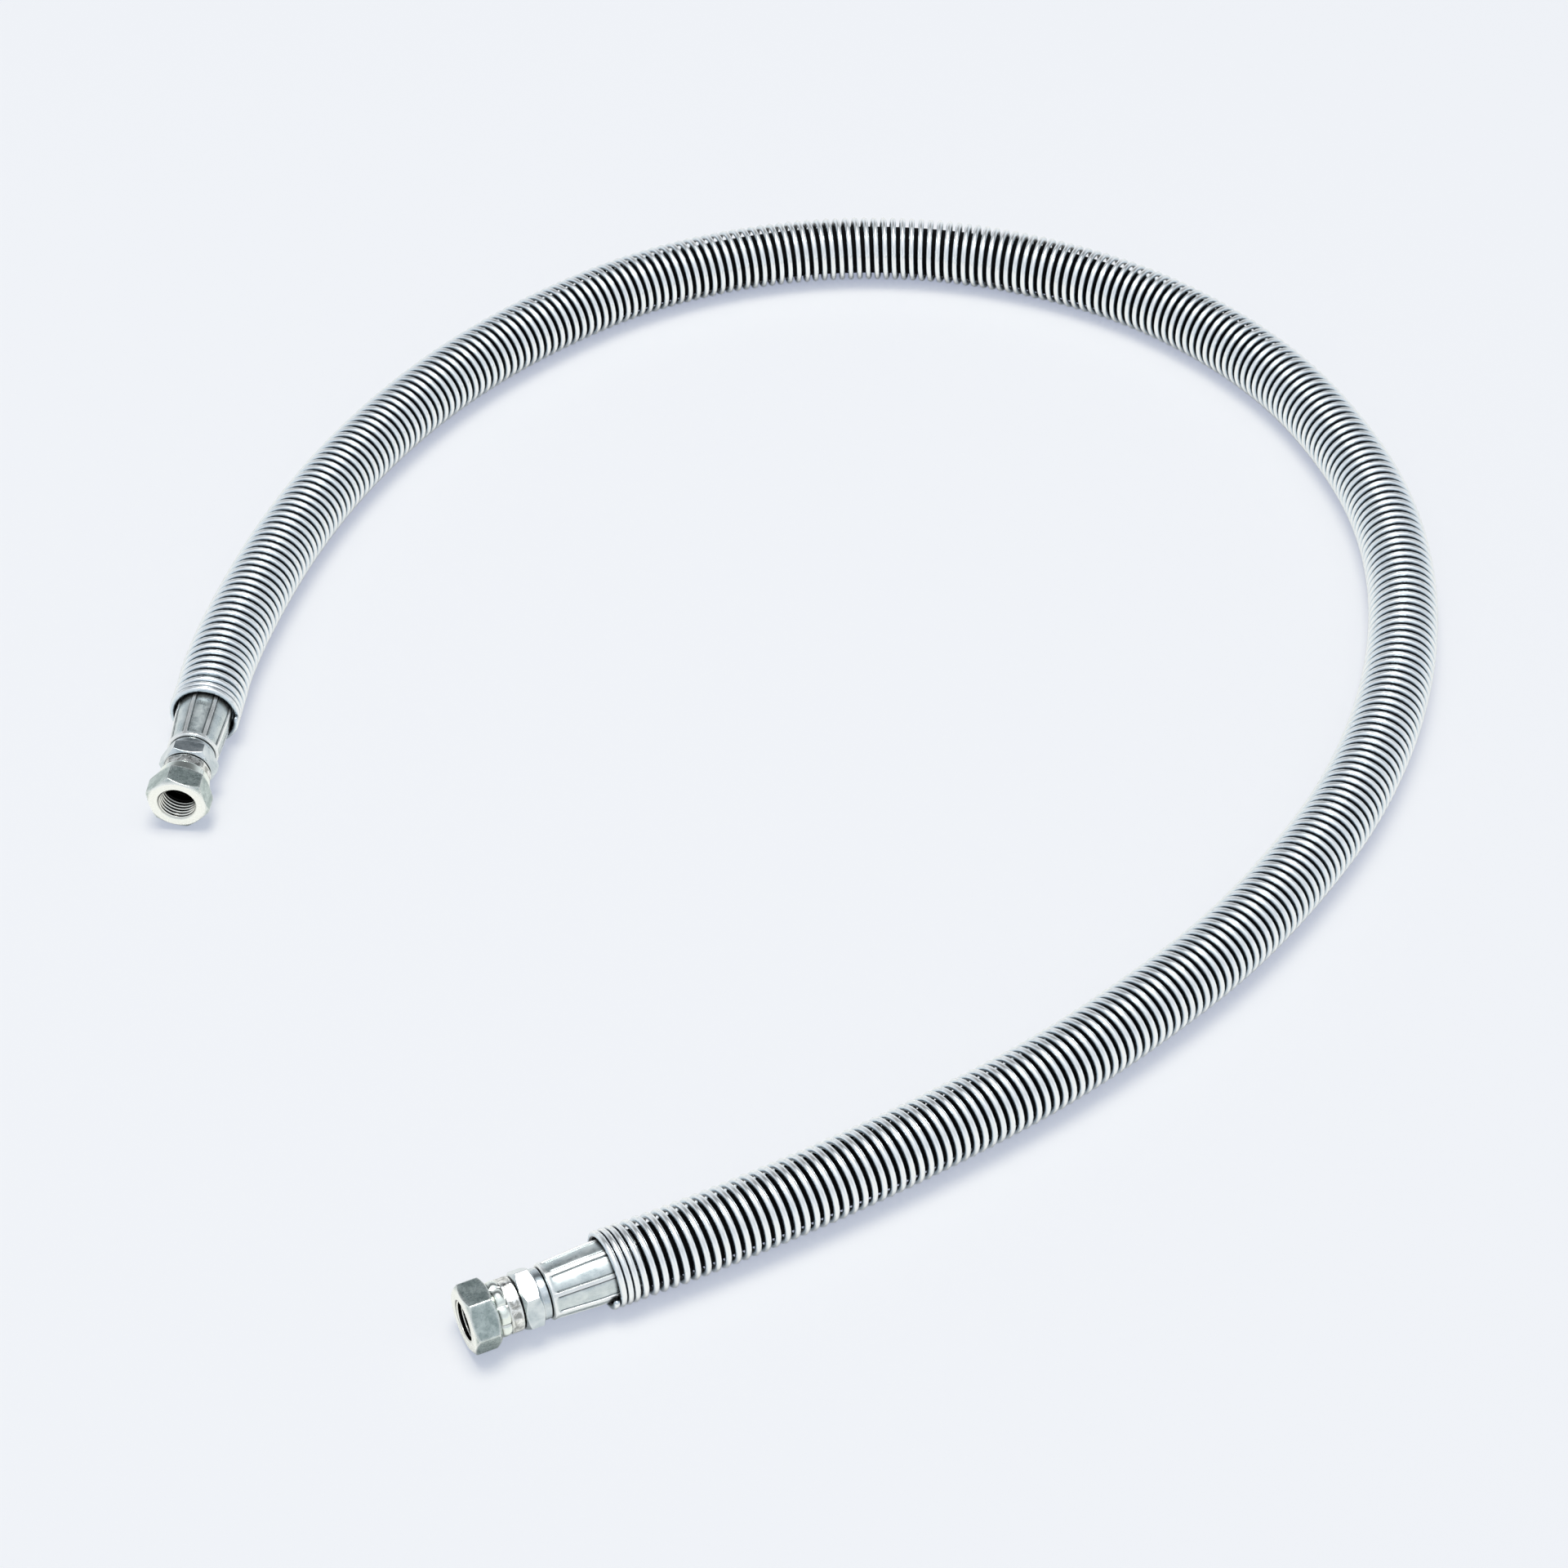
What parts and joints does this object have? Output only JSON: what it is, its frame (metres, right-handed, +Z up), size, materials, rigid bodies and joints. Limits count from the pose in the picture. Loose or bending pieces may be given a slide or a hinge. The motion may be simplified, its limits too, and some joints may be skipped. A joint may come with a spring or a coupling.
{
  "type": "hose",
  "caption": "Hydraulic hose assembly in a steel spring guard, with a crimped ferrule, fixed hexagon and swivel nut at each end, lying in an open loop.",
  "frame": {"origin": "on the floor, below the middle of the space that the whole assembly covers", "axes": "+Z up from the floor; +Y away from the two ends, towards the far side of the loop; +X to the right of someone who looks along +Y"},
  "size_m": [0.4396, 0.555, 0.024],
  "materials": {
    "rubber": "matt black",
    "guard_wire": "bright zinc plated wire",
    "ferrule_plating": "satin zinc plating",
    "nipple_plating": "bright zinc plating",
    "nut_plating": "zinc plating with a faint green tint"
  },
  "bodies": {
    "hose_body": {"rubber_hose": "rubber", "spring_guard": "guard_wire", "ferrule_a": "ferrule_plating", "nipple_a": "nipple_plating", "ferrule_b": "ferrule_plating", "nipple_b": "nipple_plating"},
    "swivel_a": {"swivel_nut_a": "nut_plating"},
    "swivel_b": {"swivel_nut_b": "nut_plating"}
  },
  "joints": [
    {"name": "nut_a_turn", "type": "hinge", "parent": "hose_body", "child": "swivel_a", "pos_m": [-0.20866, -0.04144, 0.01195], "axis": [-0.0958, -0.9954, 0], "continuous": true},
    {"name": "nut_b_turn", "type": "hinge", "parent": "hose_body", "child": "swivel_b", "pos_m": [-0.09317, -0.26414, 0.01195], "axis": [-0.9033, -0.4289, 0], "continuous": true}
  ]
}
